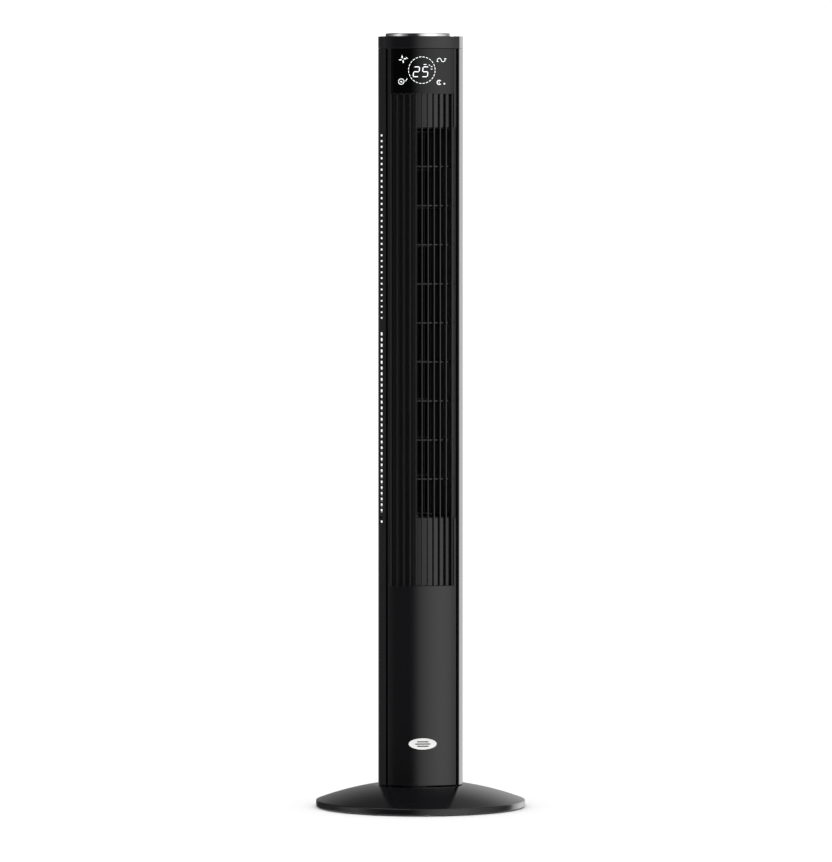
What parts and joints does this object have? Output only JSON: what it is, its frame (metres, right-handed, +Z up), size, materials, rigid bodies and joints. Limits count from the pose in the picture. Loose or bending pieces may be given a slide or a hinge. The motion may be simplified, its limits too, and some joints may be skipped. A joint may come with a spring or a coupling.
{
  "type": "tower fan",
  "caption": "Slim upright tower fan with a ribbed front outlet, LED panel and top buttons, swinging from side to side on a round weighted foot.",
  "frame": {"origin": "centre of the round foot, on the floor plane under the rubber pads", "axes": "+Z up, the ribbed front and the display face -Y, +X to the right seen from the front"},
  "size_m": [0.322, 0.322, 1.189],
  "materials": {
    "gloss_black": "polished black ABS",
    "display_panel": "smoked black acrylic",
    "satin_black": "satin black ABS",
    "black_moulding": "moulded black",
    "grey_moulding": "moulded grey",
    "bearing_plastic": "natural acetal",
    "plated_steel": "zinc plated",
    "cast_weight": "rough cast",
    "soft_rubber": "matt rubber",
    "motor_iron": "laminated iron",
    "sintered_bronze": "sintered",
    "trim_chrome": "bright chrome plate",
    "circuit_board": "green solder mask",
    "badge_white": "white, printed",
    "display_light": "lit white diffuser"
  },
  "bodies": {
    "foot": {"foot_cover": "gloss_black", "foot_base": "black_moulding", "ballast_plate": "cast_weight", "rubber_pads": "soft_rubber", "foot_screws": "plated_steel", "cord_gland": "soft_rubber", "swing_column": "black_moulding", "column_screws": "plated_steel", "thrust_ring": "bearing_plastic", "fixed_gear": "bearing_plastic", "gear_screws": "plated_steel"},
    "tower": {"turntable": "black_moulding", "turntable_screws": "plated_steel", "swing_bracket": "plated_steel", "swing_motor": "plated_steel", "bracket_screws": "plated_steel", "rear_shell": "satin_black", "front_panel": "gloss_black", "panel_screws": "plated_steel", "front_grille": "gloss_black", "display_lens": "display_panel", "display_ring": "display_light", "display_digits": "display_light", "display_icons": "display_light", "display_board": "circuit_board", "display_screws": "plated_steel", "badge": "badge_white", "scroll_wall": "grey_moulding", "air_tongue": "grey_moulding", "duct_floor": "black_moulding", "duct_ceiling": "black_moulding", "duct_screws": "plated_steel", "motor_can": "plated_steel", "motor_stator": "motor_iron", "motor_bushes": "soft_rubber", "motor_screws": "plated_steel", "top_bearing": "sintered_bronze", "main_board": "circuit_board", "board_parts": "black_moulding", "board_screws": "plated_steel", "top_cap": "gloss_black", "trim_ring": "trim_chrome", "control_plate": "gloss_black", "key_board": "circuit_board", "key_switches": "black_moulding"},
    "impeller": {"impeller": "black_moulding", "drive_shaft": "plated_steel", "top_stub": "plated_steel", "motor_rotor": "motor_iron"},
    "pinion": {"swing_pinion": "bearing_plastic"},
    "key_power": {"button_power": "satin_black"},
    "key_speed": {"button_speed": "satin_black"},
    "key_mode": {"button_mode": "satin_black"},
    "key_swing": {"button_swing": "satin_black"},
    "key_timer": {"button_timer": "satin_black"}
  },
  "joints": [
    {"name": "swing", "type": "hinge", "parent": "foot", "child": "tower", "pos_m": [0, 0, 0.045], "axis": [0, 0, 1], "range_deg": [-35, 35]},
    {"name": "impeller_spin", "type": "hinge", "parent": "tower", "child": "impeller", "pos_m": [-0.007, 0.007, 0.7], "axis": [0, 0, 1], "continuous": true},
    {"name": "pinion_spin", "type": "hinge", "parent": "tower", "child": "pinion", "pos_m": [0, 0.036, 0.06], "axis": [0, 0, 1], "range_deg": [-106, 106]},
    {"name": "press_power", "type": "slide", "parent": "tower", "child": "key_power", "axis": [0, 0, -1], "range_m": [0, 0.001], "stiffness_N_per_m": 800},
    {"name": "press_speed", "type": "slide", "parent": "tower", "child": "key_speed", "axis": [0, 0, -1], "range_m": [0, 0.001], "stiffness_N_per_m": 800},
    {"name": "press_mode", "type": "slide", "parent": "tower", "child": "key_mode", "axis": [0, 0, -1], "range_m": [0, 0.001], "stiffness_N_per_m": 800},
    {"name": "press_swing", "type": "slide", "parent": "tower", "child": "key_swing", "axis": [0, 0, -1], "range_m": [0, 0.001], "stiffness_N_per_m": 800},
    {"name": "press_timer", "type": "slide", "parent": "tower", "child": "key_timer", "axis": [0, 0, -1], "range_m": [0, 0.001], "stiffness_N_per_m": 800}
  ],
  "couplings": [
    {"joint": "pinion_spin", "follows": "swing", "ratio": 3}
  ]
}
